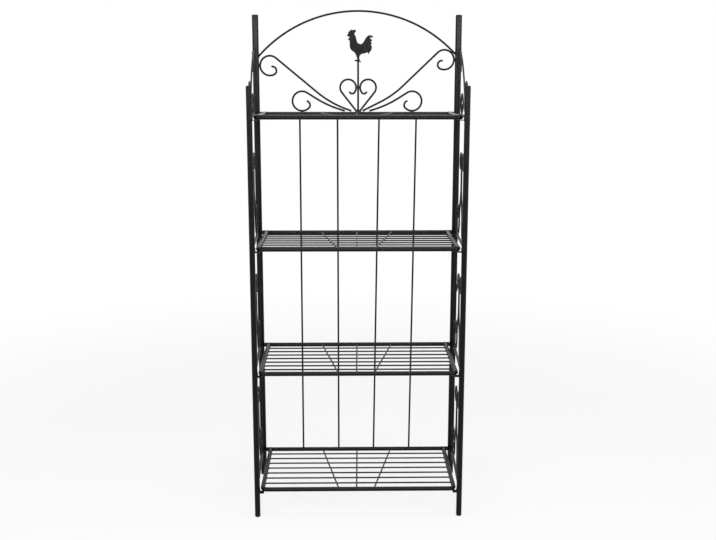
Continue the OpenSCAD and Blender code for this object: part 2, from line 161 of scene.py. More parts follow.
def apply_modifiers(obj: bpy.types.Object) -> None:
    """Applies each of an object's modifiers in turn.

    Args:
        obj: the mesh object.
    """
    make_active(obj)
    for name in [modifier.name for modifier in obj.modifiers]:
        bpy.ops.object.modifier_apply(modifier=name)


def add_bevel(obj: bpy.types.Object, width: float, segments: int, angle: float = 40) -> None:
    """Rounds an object's sharp edges with an applied bevel.

    Args:
        obj: the mesh object.
        width: the bevel's width in metres.
        segments: how many faces round each edge gets.
        angle: edges sharper than this many degrees are rounded.
    """
    bevel = obj.modifiers.new("rounded_edges", "BEVEL")
    bevel.width = width
    bevel.segments = segments
    bevel.limit_method = "ANGLE"
    bevel.angle_limit = math.radians(angle)
    apply_modifiers(obj)


def smooth(obj: bpy.types.Object, angle: float = 35) -> None:
    """Shades an object smooth across edges flatter than an angle in degrees."""
    make_active(obj)
    bpy.ops.object.shade_smooth_by_angle(angle=math.radians(angle))


def keep_flats(obj: bpy.types.Object) -> None:
    """Weighs the normals by face size, so that flats stay flat beside rounded edges.

    Args:
        obj: the mesh object, shaded smooth.
    """
    weigh = obj.modifiers.new("weighted_normals", "WEIGHTED_NORMAL")
    weigh.mode = "FACE_AREA"
    weigh.keep_sharp = True
    apply_modifiers(obj)


def settle(obj: bpy.types.Object, name: str) -> bpy.types.Object:
    """Names an object and moves its place, turn and scale into its mesh.

    Args:
        obj: the object.
        name: its new name, and its mesh's.

    Returns:
        The same object.
    """
    make_active(obj)
    bpy.ops.object.transform_apply(location=True, rotation=True, scale=True)
    obj.name = name
    obj.data.name = name
    return obj


def placed_copy(model: bpy.types.Object, placing: Matrix) -> bpy.types.Object:
    """Copies a model with its own mesh and puts the copy in place.

    Args:
        model: the finished model, drawn at the origin.
        placing: where the copy goes.

    Returns:
        The copy, whose place is in its mesh.
    """
    twin = model.copy()
    twin.data = model.data.copy()
    bpy.context.scene.collection.objects.link(twin)
    twin.data.transform(placing)
    twin.data.update()
    return twin


def joined(parts: Sequence[bpy.types.Object], name: str) -> bpy.types.Object:
    """Joins several objects into one piece.

    Args:
        parts: the objects to join.
        name: the piece's name.

    Returns:
        The piece, its place in its mesh.
    """
    clear_selection()
    for part in parts:
        part.select_set(True)
    bpy.context.view_layer.objects.active = parts[0]
    if len(parts) > 1:
        bpy.ops.object.join()
    return settle(bpy.context.view_layer.objects.active, name)


def discard(obj: bpy.types.Object) -> None:
    """Deletes a model that only served to be copied."""
    bpy.data.objects.remove(obj, do_unlink=True)


def merged_node(node: str, name: str) -> bpy.types.Object:
    """Copies a node of the frame into a clean mesh with its triangles joined.

    Args:
        node: the node's name.
        name: the new piece's name.

    Returns:
        The new piece. The node itself stays as it was.
    """
    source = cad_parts[node]
    piece = bpy.data.objects.new(name, source.data.copy())
    bpy.context.scene.collection.objects.link(piece)
    piece.data.materials.clear()
    with editing(piece):
        bpy.ops.mesh.select_all(action="SELECT")
        bpy.ops.mesh.remove_doubles(threshold=SAME_PLACE)
        bpy.ops.mesh.customdata_custom_splitnormals_clear()
        bpy.ops.mesh.dissolve_limited(angle_limit=math.radians(FLAT_ANGLE))
    return piece


def softened_node(node: str, name: str, width: float) -> bpy.types.Object:
    """Copies a node of the frame and rounds its sharp edges.

    Args:
        node: the node's name.
        name: the new piece's name.
        width: the rounding's width in metres.

    Returns:
        The piece, shaded smooth with its flats kept flat.
    """
    piece = merged_node(node, name)
    add_bevel(piece, width, 2, 50)
    smooth(piece)
    keep_flats(piece)
    return piece


def aim(place: Vector, along: Vector, across: Optional[Vector] = None) -> Matrix:
    """Makes the matrix that stands a model's Z along one direction.

    Args:
        place: where the model's origin goes.
        along: the direction that its Z axis takes.
        across: a direction that its X axis leans towards.

    Returns:
        The placing matrix.
    """
    z = along.normalized()
    lean = across if across is not None else Vector((0, 0, 1))
    if abs(lean.normalized().dot(z)) > 0.98:
        lean = Vector((1, 0, 0)) if abs(z.x) < 0.9 else Vector((0, 1, 0))
    x = (lean - z * lean.dot(z)).normalized()
    y = z.cross(x)
    turn = Matrix((x, y, z)).transposed().to_4x4()
    return Matrix.Translation(place) @ turn


# Shader helpers


class Shader:
    """A short way to wire up a node tree."""

    def __init__(self, tree: bpy.types.NodeTree) -> None:
        """Takes the tree that the nodes go into."""
        self.tree = tree

    def node(self, kind: str, **settings: object) -> bpy.types.Node:
        """Adds a node.

        Args:
            kind: the node's type, without the ShaderNode in front.
            settings: properties of the node to set.

        Returns:
            The node.
        """
        made = self.tree.nodes.new("ShaderNode" + kind)
        for key, value in settings.items():
            setattr(made, key, value)
        return made

    def link(self, source: bpy.types.NodeSocket, target: bpy.types.NodeSocket) -> None:
        """Joins an output to an input."""
        self.tree.links.new(source, target)

    def feed(self, target: bpy.types.NodeSocket, value: object) -> None:
        """Sets an input to a value, or links an output to it.

        Args:
            target: the input.
            value: a plain value, or the output to link.
        """
        if isinstance(value, bpy.types.NodeSocket):
            self.link(value, target)
        else:
            target.default_value = value

    def math(self, operation: str, first: object, second: object = 0.0) -> bpy.types.NodeSocket:
        """Adds a Math node.

        Args:
            operation: what the node does.
            first: its first value or output.
            second: its second value or output.

        Returns:
            The result.
        """
        made = self.node("Math", operation=operation)
        self.feed(made.inputs[0], first)
        self.feed(made.inputs[1], second)
        return made.outputs[0]

    def spread(self, value: object, low: float, high: float, to_low: float = 0.0,
               to_high: float = 1.0) -> bpy.types.NodeSocket:
        """Maps a value from one span to another, held within it.

        Args:
            value: the value or output to map.
            low: where the first span starts.
            high: where the first span ends.
            to_low: where the second span starts.
            to_high: where the second span ends.

        Returns:
            The mapped value.
        """
        made = self.node("MapRange", interpolation_type="SMOOTHSTEP")
        for index, amount in enumerate((value, low, high, to_low, to_high)):
            self.feed(made.inputs[index], amount)
        return made.outputs[0]

    def noise(self, vector: object, scale: object, detail: float = 2.0,
              rough: float = 0.5) -> bpy.types.NodeSocket:
        """Adds a Noise Texture.

        Args:
            vector: the coordinates that it reads.
            scale: how often it repeats in a metre.
            detail: how many finer layers it has.
            rough: how strong the finer layers are.

        Returns:
            The noise's value.
        """
        made = self.node("TexNoise")
        self.feed(made.inputs["Vector"], vector)
        self.feed(made.inputs["Scale"], scale)
        made.inputs["Detail"].default_value = detail
        made.inputs["Roughness"].default_value = rough
        return made.outputs["Fac"]

    def blend(self, factor: object, first: object, second: object) -> bpy.types.NodeSocket:
        """Mixes two colours.

        Args:
            factor: the share of the second colour.
            first: the first colour.
            second: the second colour.

        Returns:
            The mixed colour.
        """
        made = self.node("Mix", data_type="RGBA")
        self.feed(made.inputs[0], factor)
        self.feed(made.inputs[6], first)
        self.feed(made.inputs[7], second)
        return made.outputs[2]


def new_group(name: str, inputs: dict[str, float], outputs: Sequence[str]) -> tuple:
    """Starts a shader node group over object coordinates.

    Args:
        name: the group's name.
        inputs: its number inputs with their defaults. A Vector input comes first.
        outputs: its number outputs.

    Returns:
        The group, its Shader, its input node and its output node.
    """
    group = bpy.data.node_groups.new(name, "ShaderNodeTree")
    group.interface.new_socket("Vector", in_out="INPUT", socket_type="NodeSocketVector")
    for key, value in inputs.items():
        socket = group.interface.new_socket(key, in_out="INPUT", socket_type="NodeSocketFloat")
        socket.default_value = value
    for key in outputs:
        group.interface.new_socket(key, in_out="OUTPUT", socket_type="NodeSocketFloat")
    shader = Shader(group)
    return group, shader, group.nodes.new("NodeGroupInput"), group.nodes.new("NodeGroupOutput")


@dataclass
class Effects:
    """The effects that the finishes share, each a node group built once.

    Scales count repeats in a metre. A span gives the values of a noise, or of
    a direction, between which an effect sets in.
    """

    drift_scale: float = 23.0
    faces_up: tuple[float, float] = (0.35, 0.95)
    dust_scale: float = 60.0
    dust_span: tuple[float, float] = (0.38, 0.68)
    grain_scale: float = 1800.0
    grain_span: tuple[float, float] = (0.35, 0.65)
    grain_least: float = 0.55
    hair_lean: tuple[float, float, float] = (0.4, 0.7, 0.3)
    hair_squash: tuple[float, float, float] = (1.0, 1.0, 0.12)
    hair_scale: float = 1900.0
    hair_span: tuple[float, float] = (0.60, 0.68)
    worn_span: tuple[float, float] = (0.50, 0.66)

    def __post_init__(self) -> None:
        """Builds the groups."""
        self.peel = self._peel()
        self.dust = self._dust()
        self.rub = self._rub()

    def _peel(self) -> bpy.types.NodeTree:
        """Orange peel of a baked powder: soft hills, fine specks and a slow drift of tone.

        Returns:
            The group, which puts out the peel's height and the drift.
        """
        group, net, given, taken = new_group(
            "orange_peel", {"Hill Scale": 420.0, "Speck Scale": 2600.0, "Speck Share": 0.3},
            ("Height", "Drift"))
        vector = given.outputs["Vector"]
        hills = net.noise(vector, given.outputs["Hill Scale"], 1.5)
        specks = net.noise(vector, given.outputs["Speck Scale"], 1.0)
        share = given.outputs["Speck Share"]
        height = net.math("ADD", hills, net.math("MULTIPLY", specks, share))
        net.link(height, taken.inputs["Height"])
        net.link(net.noise(vector, self.drift_scale, 3.0, 0.6), taken.inputs["Drift"])
        return group

    def _dust(self) -> bpy.types.NodeTree:
        """Settled dust, which lies in drifts on what faces up.

        Returns:
            The group, which puts out the dust's mask.
        """
        group, net, given, taken = new_group("settled_dust", {"Amount": 0.5}, ("Mask",))
        facing = net.node("TexCoord")
        parts = net.node("SeparateXYZ")
        net.link(facing.outputs["Normal"], parts.inputs[0])
        upward = net.spread(parts.outputs["Z"], *self.faces_up)
        drifts = net.noise(given.outputs["Vector"], self.dust_scale, 4.0, 0.65)
        patches = net.spread(drifts, *self.dust_span)
        specks = net.noise(given.outputs["Vector"], self.grain_scale, 1.0)
        grains = net.spread(specks, *self.grain_span, self.grain_least, 1.0)
        mask = net.math("MULTIPLY", upward, net.math("MULTIPLY", patches, grains))
        net.link(net.math("MULTIPLY", mask, given.outputs["Amount"]), taken.inputs["Mask"])
        return group

    def _rub(self) -> bpy.types.NodeTree:
        """Handling marks: short hairline scuffs in a few worn patches.

        Returns:
            The group, which puts out the marks' mask.
        """
        group, net, given, taken = new_group(
            "rub_marks", {"Amount": 0.5, "Patch Scale": 40.0}, ("Mask",))
        vector = given.outputs["Vector"]
        lean = net.node("Mapping")
        net.link(vector, lean.inputs["Vector"])
        lean.inputs["Rotation"].default_value = self.hair_lean
        lean.inputs["Scale"].default_value = self.hair_squash
        scuffs = net.noise(lean.outputs[0], self.hair_scale, 2.0, 0.6)
        hairs = net.spread(scuffs, *self.hair_span)
        worn = net.noise(vector, given.outputs["Patch Scale"], 2.0)
        patches = net.spread(worn, *self.worn_span)
        mask = net.math("MULTIPLY", hairs, patches)
        net.link(net.math("MULTIPLY", mask, given.outputs["Amount"]), taken.inputs["Mask"])
        return group


@dataclass(frozen=True)
class Finish:
    """One finish of the stand: a coat or a moulded plastic.

    Colours are linear. Lengths in the bump are metres, and the effect scales
    count repeats in a metre.
    """

    name: str
    base: tuple[float, float, float] = (0.0024, 0.0024, 0.0026)
    drift: tuple[float, float, float] = (0.0048, 0.0046, 0.0046)
    worn: tuple[float, float, float] = (0.055, 0.052, 0.050)
    dust: tuple[float, float, float] = (0.060, 0.055, 0.048)
    roughness: float = 0.27
    roughness_drift: float = 0.04
    specular: float = 0.13
    hill_scale: float = 420.0
    speck_scale: float = 2600.0
    speck_share: float = 0.30
    peel_height: float = 0.000036
    rub_amount: float = 0.12
    rub_patch_scale: float = 40.0
    dust_amount: float = 0.16
    dust_roughness: float = 0.35
    drift_span: tuple[float, float] = (0.3, 0.7)

    def material(self, effects: Effects) -> bpy.types.Material:
        """Builds the finish as a material.

        Args:
            effects: the shared node groups.

        Returns:
            The material, with its nodes wired.
        """
        made = bpy.data.materials.new(self.name)
        made.use_nodes = True
        made.node_tree.nodes.clear()
        net = Shader(made.node_tree)
        place = net.node("TexCoord").outputs["Object"]

        peel = self._group(net, effects.peel, place)
        peel.inputs["Hill Scale"].default_value = self.hill_scale
        peel.inputs["Speck Scale"].default_value = self.speck_scale
        peel.inputs["Speck Share"].default_value = self.speck_share
        rub = self._group(net, effects.rub, place)
        rub.inputs["Amount"].default_value = self.rub_amount
        rub.inputs["Patch Scale"].default_value = self.rub_patch_scale
        dust = self._group(net, effects.dust, place)
        dust.inputs["Amount"].default_value = self.dust_amount

        toned = net.blend(peel.outputs["Drift"], (*self.base, 1), (*self.drift, 1))
        rubbed = net.blend(rub.outputs["Mask"], toned, (*self.worn, 1))
        dusted = net.blend(dust.outputs["Mask"], rubbed, (*self.dust, 1))
        low, high = self.roughness - self.roughness_drift, self.roughness + self.roughness_drift
        uneven = net.spread(peel.outputs["Drift"], *self.drift_span, low, high)
        dusty = net.math("MULTIPLY", dust.outputs["Mask"], self.dust_roughness)
        dulled = net.math("ADD", uneven, dusty)

        bump = net.node("Bump")
        bump.inputs["Strength"].default_value = 1.0
        bump.inputs["Distance"].default_value = self.peel_height
        net.link(peel.outputs["Height"], bump.inputs["Height"])

        surface = net.node("BsdfPrincipled")
        net.link(dusted, surface.inputs["Base Color"])
        net.link(dulled, surface.inputs["Roughness"])
        net.link(bump.outputs[0], surface.inputs["Normal"])
        surface.inputs["Specular IOR Level"].default_value = self.specular
        net.link(surface.outputs[0], net.node("OutputMaterial").inputs["Surface"])
        return made

    @staticmethod
    def _group(net: Shader, tree: bpy.types.NodeTree,
               place: bpy.types.NodeSocket) -> bpy.types.Node:
        """Places a shared group in a material and feeds it the object's coordinates.

        Args:
            net: the material's nodes.
            tree: the shared group.
            place: the object's coordinates.

        Returns:
            The group's node.
        """
        node = net.node("Group", node_tree=tree)
        net.link(place, node.inputs["Vector"])
        return node


TUBE_COAT = Finish("satin_black_coat_tube")
ROD_COAT = Finish("satin_black_coat_rod", roughness=0.29, hill_scale=560.0, peel_height=0.000026,
                  rub_amount=0.06)
WORN_COAT = Finish("rubbed_black_coat", roughness=0.36, rub_amount=0.55, rub_patch_scale=95.0,
                   peel_height=0.000026, dust_amount=0.10)
WELD_COAT = Finish("coated_weld", roughness=0.46, hill_scale=900.0, peel_height=0.00005,
                   speck_share=0.5, rub_amount=0.0)
CAST_COAT = Finish("coated_plate", roughness=0.44, hill_scale=700.0, peel_height=0.00004,
                   rub_amount=0.10, dust_amount=0.10)
CAP_PLASTIC = Finish("moulded_cap_plastic", base=(0.0055, 0.0055, 0.0058),
                     drift=(0.0085, 0.0085, 0.0088), worn=(0.045, 0.045, 0.046),
                     roughness=0.5, roughness_drift=0.04, specular=0.16, hill_scale=1500.0,
                     speck_scale=4200.0, speck_share=0.8, peel_height=0.00002,
                     rub_amount=0.35, rub_patch_scale=120.0)


class Wardrobe:
    """Holds the finishes and puts them on nodes and new pieces."""

    def __init__(self) -> None:
        """Builds every finish once."""
        effects = Effects()
        finishes = (TUBE_COAT, ROD_COAT, WORN_COAT, WELD_COAT, CAST_COAT, CAP_PLASTIC)
        self.materials = {finish: finish.material(effects) for finish in finishes}

    def dress_node(self, node: str, finish: Finish) -> None:
        """Gives a node of the frame its finish.

        Args:
            node: the node's name.
            finish: what it is finished in.
        """
        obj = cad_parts[node]
        if not obj.material_slots:
            obj.data.materials.append(None)
        for slot in obj.material_slots:
            slot.material = self.materials[finish]
        LOG.info("dressed node %s in %s", node, finish.name)

    def dress_piece(self, piece: bpy.types.Object, finish: Finish, body: str,
                    nodes: Sequence[str] = ()) -> None:
        """Gives a new piece its finish and body, and hides the nodes that it stands for.

        Args:
            piece: the finished piece, its place in its mesh.
            finish: what it is finished in.
            body: the body that carries it.
            nodes: the nodes that it replaces.
        """
        piece.data.materials.clear()
        piece.data.materials.append(self.materials[finish])
        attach(piece, body)
        if nodes:
            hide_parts(*nodes)
        LOG.info("made piece %s in %s on %s", piece.name, finish.name, body)


# Weld beads


@dataclass
class Welder:
    """Lays the weld beads that join rods and tubes.

    Sizes are metres. A collar is the bead round the end of a bar that meets
    a tube, and a tack is the short bead in the valley between two bars.
    """

    segments: int = 16
    collar_thick: float = 0.9 * MM
    tack_length: float = 5.0 * MM
    tack_width: float = 1.5 * MM
    ripple: tuple[float, float] = (1.1, 0.92)
    reach: float = 0.45 * MM
    apart: float = 9.0 * MM
    shortest_run: float = 0.2 * MM
    valley_share: float = 0.62

    def __post_init__(self) -> None:
        """Models the tack once, to be copied."""
        self.beads: list[bpy.types.Object] = []
        self.tack_model = self._tack()
        self.collars: dict[tuple[float, float], bpy.types.Object] = {}

    def _tack(self) -> bpy.types.Object:
        """Models a tack 1 long along Z and 1 wide, with two ripples.

        Returns:
            The tack's model.
        """
        clear_selection()
        bpy.ops.mesh.primitive_uv_sphere_add(segments=10, ring_count=8, radius=0.5)
        tack = bpy.context.object
        for low, high, swell in ((-0.32, -0.12, 1.12), (0.12, 0.32, 1.12), (-0.06, 0.06, 0.9)):
            pick_faces(tack, lambda at, _: low < at.z < high)
            with editing(tack):
                bpy.ops.transform.resize(value=(swell, swell, 1.0))
        return settle(tack, "tack_model")

    def _collar(self, bar: float, tube: float) -> bpy.types.Object:
        """Models a rippled collar for a bar's end on a tube.

        The collar lies in X and Y round the bar. It sags away at the sides
        as the tube falls away, along X.

        Args:
            bar: the bar's radius.
            tube: the tube's radius.

        Returns:
            The collar's model.
        """
        clear_selection()
        thick = min(self.collar_thick, 0.5 * bar)
        bpy.ops.mesh.primitive_torus_add(major_segments=self.segments, minor_segments=6,
                                         major_radius=bar, minor_radius=thick)
        collar = bpy.context.object
        step = 2 * math.pi / self.segments
        for index in range(self.segments):
            angle = index * step
            out = Vector((math.cos(angle), math.sin(angle), 0))
            pick_vertices(collar, lambda at: math.acos(
                max(-1, min(1, at.xy.normalized().dot(out.xy)))) < step / 3)
            fall = tube - math.sqrt(max(tube ** 2 - (bar * out.x) ** 2, 0))
            swell = self.ripple[0] if index % 2 else self.ripple[1]
            with editing(collar, "VERT"):
                bpy.ops.transform.resize(value=(swell, swell, swell),
                                         center_override=tuple(out * bar))
                bpy.ops.transform.translate(value=(0, 0, -fall))
        return settle(collar, "collar_model")

    def collar(self, place: Vector, along: Vector, bar: float, tube: float,
               tube_axis: Vector) -> None:
        """Lays a collar round the end of a bar.

        Args:
            place: the middle of the bar's end, on the tube's surface.
            along: the direction from the tube out along the bar.
            bar: the bar's radius.
            tube: the tube's radius.
            tube_axis: the tube's direction.
        """
        key = (round(bar, 6), round(tube, 6))
        if key not in self.collars:
            self.collars[key] = self._collar(bar, tube)
        across = along.cross(tube_axis)
        self.beads.append(placed_copy(self.collars[key], aim(place, along, across)))

    def tack(self, place: Vector, along: Vector, length: Optional[float] = None,
             width: Optional[float] = None) -> None:
        """Lays a tack.

        Args:
            place: where its middle goes.
            along: the direction that it runs in.
            length: its length, where it isn't the usual one.
            width: its width, where it isn't the usual one.
        """
        size = Matrix.Diagonal((width or self.tack_width, width or self.tack_width,
                                length or self.tack_length, 1))
        self.beads.append(placed_copy(self.tack_model, aim(place, along) @ size))

    def touching(self, first: str, second: str) -> list[tuple[Vector, Vector, Vector]]:
        """Finds where two nodes lie against each other.

        Args:
            first: the node whose vertices are tried.
            second: the node that they may touch.

        Returns:
            For each place its middle, the direction from one node to the
            other, and the direction that the contact runs in.
        """
        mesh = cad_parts[second].data
        tree = BVHTree.FromPolygons([v.co for v in mesh.vertices],
                                    [tuple(p.vertices) for p in mesh.polygons])
        found: list[list[tuple[float, Vector, Vector]]] = []
        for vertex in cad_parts[first].data.vertices:
            near, normal, _, distance = tree.find_nearest(vertex.co, self.reach)
            if near is None:
                continue
            spot = (distance, (vertex.co + near) / 2, normal)
            for group in found:
                if (group[0][1] - spot[1]).length < self.apart:
                    group.append(spot)
                    break
            else:
                found.append([spot])
        places = []
        for group in found:
            closest = min(group, key=lambda spot: spot[0])
            farthest = max(group, key=lambda spot: (spot[1] - closest[1]).length)
            run = farthest[1] - closest[1]
            if run.length < self.shortest_run:
                run = closest[2].cross(Vector((0, 1, 0)))
            run = run - closest[2] * run.dot(closest[2])
            if run.length > 1e-9:
                places.append((closest[1], closest[2].normalized(), run.normalized()))
        return places

    def tack_contacts(self, first: str, second: str, bar: float) -> int:
        """Lays tacks in both valleys of each place where two nodes touch.

        Args:
            first: the thinner, bent node.
            second: the node that it lies against.
            bar: the thinner bar's radius.

        Returns:
            How many contacts were found.
        """
        places = self.touching(first, second)
        for middle, normal, run in places:
            valley = normal.cross(run).normalized()
            for side in (-1, 1):
                self.tack(middle + valley * side * self.valley_share * bar, run)
        return len(places)

    def finish(self, name: str) -> bpy.types.Object:
        """Joins the beads laid so far into one piece and starts afresh.

        Args:
            name: the piece's name.

        Returns:
            The piece.
        """
        piece = joined(self.beads, name)
        smooth(piece, 50)
        self.beads = []
        return piece

    def clear_models(self) -> None:
        """Deletes the models that only served to be copied."""
        discard(self.tack_model)
        for model in self.collars.values():
            discard(model)


# Moulded caps


@dataclass
class CapMaker:
    """Moulds the plastic caps of the tubes.

    Sizes are metres. The cap's face lies in X and Y with its crown up, and
    the spigot hangs below it.
    """

    radius: float
    rim: float = 3.0 * MM
    rim_share: float = 0.98
    seam: float = 0.35 * MM
    spigot_inset: float = 1.3 * MM
    spigot_len: float = 14.0 * MM
    spigot_rim: float = 0.5 * MM
    gate_radius: float = 1.3 * MM
    gate_wall: float = 0.15 * MM
    gate_depth: float = 0.25 * MM

    def model(self, height: float) -> bpy.types.Object:
        """Models one cap with its crown's top at the origin.

        Args:
            height: how much of the cap shows over the tube.

        Returns:
            The cap, drawn downwards from the origin.
        """
        clear_selection()
        bpy.ops.mesh.primitive_cylinder_add(vertices=48, radius=self.radius, depth=height,
                                            location=(0, 0, -height / 2))
        cap = bpy.context.object
        settle(cap, "cap_model")
        pick_faces(cap, lambda _, normal: normal.z > 0.9)
        with editing(cap):
            bpy.ops.mesh.bevel(offset=self.rim * self.rim_share, segments=6, affect="EDGES")
        pick_faces(cap, lambda at, normal: normal.z > 0.99 and at.z > -SAME_PLACE)
        with editing(cap):
            bpy.ops.mesh.inset(thickness=self.radius - self.rim - self.gate_radius)
            bpy.ops.mesh.inset(thickness=self.gate_wall, depth=-self.gate_depth)
        pick_faces(cap, lambda _, normal: normal.z < -0.9)
        with editing(cap):
            bpy.ops.mesh.bevel(offset=self.seam, segments=2, affect="EDGES")
        pick_faces(cap, lambda at, normal: normal.z < -0.99 and at.z < -height + SAME_PLACE)
        with editing(cap):
            bpy.ops.mesh.inset(thickness=self.spigot_inset - self.seam)
            bpy.ops.mesh.extrude_region_move(
                TRANSFORM_OT_translate={"value": (0, 0, -self.spigot_len)})
            bpy.ops.mesh.bevel(offset=self.spigot_rim, segments=2, affect="EDGES")
        smooth(cap, 35)
        return cap

    def set(self, name: str, spots: Sequence[tuple[Vector, float, bool]]) -> bpy.types.Object:
        """Makes one piece of several caps.

        Args:
            name: the piece's name.
            spots: for each cap the point of its crown, its height, and
                whether its crown looks up.

        Returns:
            The piece.
        """
        caps = []
        for crown, height, looks_up in spots:
            model = self.model(height)
            up = Vector((0, 0, 1 if looks_up else -1))
            caps.append(placed_copy(model, aim(crown, up, Vector((1, 0, 0)))))
            discard(model)
        return joined(caps, name)


# Sub-assemblies


@dataclass
class Shelf:
    """One wire shelf: its frame, sleeves, wires and fan rods."""

    level: Level
    tube_r: float = 6.35 * MM
    wire_r: float = 2.25 * MM
    sleeve_r: float = 6.7 * MM
    sleeve_rim: float = 0.35 * MM
    fan_tack: tuple[float, float] = (4.2 * MM, 2.2 * MM)
    wire_count: int = 7

    @property
    def body(self) -> str:
        """The body's name in the frame."""
        return f"{self.level.value}_shelf"

    def build(self, wardrobe: Wardrobe, welder: Welder) -> None:
        """Dresses the shelf and lays its welds.

        Args:
            wardrobe: the finishes.
            welder: the welder.
        """
        wardrobe.dress_node(f"{self.body}_frame", TUBE_COAT)
        wardrobe.dress_node(f"{self.body}_wires", ROD_COAT)
        wardrobe.dress_node(f"{self.body}_fan_rods", ROD_COAT)
        self.build_sleeves(wardrobe)
        self.weld(welder)
        wardrobe.dress_piece(welder.finish(f"{self.body}_welds"), WELD_COAT, self.body)

    def build_sleeves(self, wardrobe: Wardrobe) -> None:
        """Softens the rims of the two hinge sleeves.

        Args:
            wardrobe: the finishes.
        """
        node = f"{self.body}_sleeves"
        piece = softened_node(node, f"{self.body}_hinge_sleeves", self.sleeve_rim)
        wardrobe.dress_piece(piece, WORN_COAT, self.body, [node])

    def weld(self, welder: Welder) -> None:
        """Lays collars on the wires and the side tubes, and tacks on the fan rods.

        Args:
            welder: the welder.
        """
        wires_low, wires_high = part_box(f"{self.body}_wires")
        frame_low, frame_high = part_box(f"{self.body}_frame")
        middle = (wires_low.z + wires_high.z) / 2
        first, last = wires_low.y + self.wire_r, wires_high.y - self.wire_r
        side_x = frame_high.x - self.tube_r
        level = (frame_low.z + frame_high.z) / 2
        drop = middle - level
        end_x = side_x - math.sqrt(self.tube_r ** 2 - drop ** 2)
        for index in range(self.wire_count):
            y = first + (last - first) * index / (self.wire_count - 1)
            for side in Side:
                place = Vector((side.value * end_x, y, middle))
                welder.collar(place, Vector((-side.value, 0, 0)), self.wire_r, self.tube_r,
                              Vector((0, 1, 0)))
        sleeve_low, sleeve_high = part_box(f"{self.body}_sleeves")
        hinge_y = (sleeve_low.y + sleeve_high.y) / 2
        for side in Side:
            place = Vector((side.value * side_x, hinge_y - self.sleeve_r, level))
            welder.collar(place, Vector((0, -1, 0)), self.tube_r, self.sleeve_r,
                          Vector((1, 0, 0)))
        for place, _, run in welder.touching(f"{self.body}_fan_rods", f"{self.body}_frame"):
            welder.tack(place, run, *self.fan_tack)


@dataclass
class SideFrame:
    """One side frame: its leg, hinge bar, cross bars, scrolls and brackets."""

    side: Side
    leg_r: float = 8.0 * MM
    bar_r: float = 4.5 * MM
    cross_r: float = 4.0 * MM
    rod_r: float = 2.5 * MM
    bracket_rim: float = 0.45 * MM
    top_cap: float = 5.0 * MM
    foot_cap: float = 9.0 * MM

    @property
    def body(self) -> str:
        """The body's name in the frame."""
        return f"{self.side.word}_side"

    def node(self, part: str) -> str:
        """The name of one of this side's nodes."""
        return f"{self.side.word}_{part}"

    @property
    def rods(self) -> list[str]:
        """The nodes of this side that are bent from thin rod."""
        parts = ("upper_bay_scrolls", "middle_bay_scrolls", "lower_bay_scrolls",
                 "shoulder_rod", "perch_scroll", "apron_rod")
        return [self.node(part) for part in parts]

    def build(self, wardrobe: Wardrobe, welder: Welder) -> None:
        """Dresses the side frame, and makes its welds, caps and brackets.

        Args:
            wardrobe: the finishes.
            welder: the welder.
        """
        wardrobe.dress_node(self.node("front_leg"), TUBE_COAT)
        wardrobe.dress_node(self.node("rear_bar"), WORN_COAT)
        wardrobe.dress_node(self.node("cross_bars"), ROD_COAT)
        for rod in self.rods:
            wardrobe.dress_node(rod, ROD_COAT)
        self.build_caps(wardrobe)
        self.build_brackets(wardrobe)
        self.weld(welder)
        wardrobe.dress_piece(welder.finish(self.node("side_welds")), WELD_COAT, self.body)

    def build_caps(self, wardrobe: Wardrobe) -> None:
        """Replaces the leg's two caps.

        Args:
            wardrobe: the finishes.
        """
        node = self.node("leg_caps")
        low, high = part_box(node)
        x, y = (low.x + high.x) / 2, (low.y + high.y) / 2
        piece = CapMaker(self.leg_r).set(self.node("leg_end_caps"), [
            (Vector((x, y, high.z)), self.top_cap, True),
            (Vector((x, y, low.z)), self.foot_cap, False)])
        wardrobe.dress_piece(piece, CAP_PLASTIC, self.body, [node])

    def build_brackets(self, wardrobe: Wardrobe) -> None:
        """Softens the edges of the four rest brackets.

        Args:
            wardrobe: the finishes.
        """
        node = self.node("rest_brackets")
        piece = softened_node(node, self.node("shelf_brackets"), self.bracket_rim)
        wardrobe.dress_piece(piece, WORN_COAT, self.body, [node])

    def weld(self, welder: Welder) -> None:
        """Lays collars on the cross bars, and tacks where the rods and brackets touch.

        Args:
            welder: the welder.
        """
        bar_low, bar_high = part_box(self.node("rear_bar"))
        leg_low, leg_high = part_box(self.node("front_leg"))
        cross_low, cross_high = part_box(self.node("cross_bars"))
        bar = Vector(((bar_low.x + bar_high.x) / 2, (bar_low.y + bar_high.y) / 2, 0))
        leg = Vector(((leg_low.x + leg_high.x) / 2, (leg_low.y + leg_high.y) / 2, 0))
        along = (leg - bar).normalized()
        up = Vector((0, 0, 1))
        for level in Level:
            low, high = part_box(f"{level.value}_shelf_frame")
            height = Vector((0, 0, (low.z + high.z) / 2))
            welder.collar(bar + along * self.bar_r + height, along, self.cross_r, self.bar_r, up)
            welder.collar(leg - along * self.leg_r + height, -along, self.cross_r, self.leg_r, up)
        ground = [self.node("cross_bars"), self.node("rear_bar"), self.node("front_leg")]
        for rod in self.rods:
            found = sum(welder.tack_contacts(rod, other, self.rod_r) for other in ground)
            LOG.info("%s touches its frame at %d places", rod, found)
        welder.tack_contacts(self.node("rest_brackets"), self.node("front_leg"), self.rod_r)


